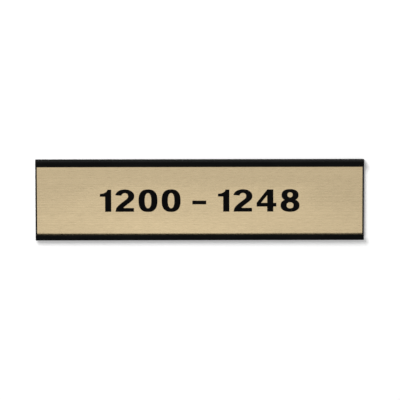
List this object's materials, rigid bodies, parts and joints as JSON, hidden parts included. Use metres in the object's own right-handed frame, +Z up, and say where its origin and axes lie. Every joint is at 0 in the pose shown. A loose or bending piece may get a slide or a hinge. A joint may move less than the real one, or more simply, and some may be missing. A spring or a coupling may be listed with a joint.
{
  "type": "wall sign",
  "caption": "Wall sign: an engraved brushed-gold plate with a black core that slides into a black aluminium holder with lipped rails along its long edges, stuck up by foam pads.",
  "frame": {"origin": "on the wall, at the middle of the centre pad's adhesive face, which is the middle of the sign", "axes": "+X along the sign, to the right of someone reading it; +Y into the wall; +Z up"},
  "size_m": [0.2032, 0.0056, 0.0532],
  "materials": {
    "black_anodised": "satin black anodised",
    "black_core": "matte",
    "brushed_gold": "fine lengthwise brushed gold, satin",
    "white_foam": "closed-cell foam with a tacky adhesive face"
  },
  "bodies": {
    "holder": {"wall_frame": "black_anodised", "tape_pad_left": "white_foam", "tape_pad_centre": "white_foam", "tape_pad_right": "white_foam"},
    "plate": {"plate_core": "black_core", "plate_cap": "brushed_gold"}
  },
  "joints": [
    {"name": "plate_slide", "type": "slide", "parent": "holder", "child": "plate", "axis": [1, 0, 0], "range_m": [-0.2022, 0.2022]}
  ]
}
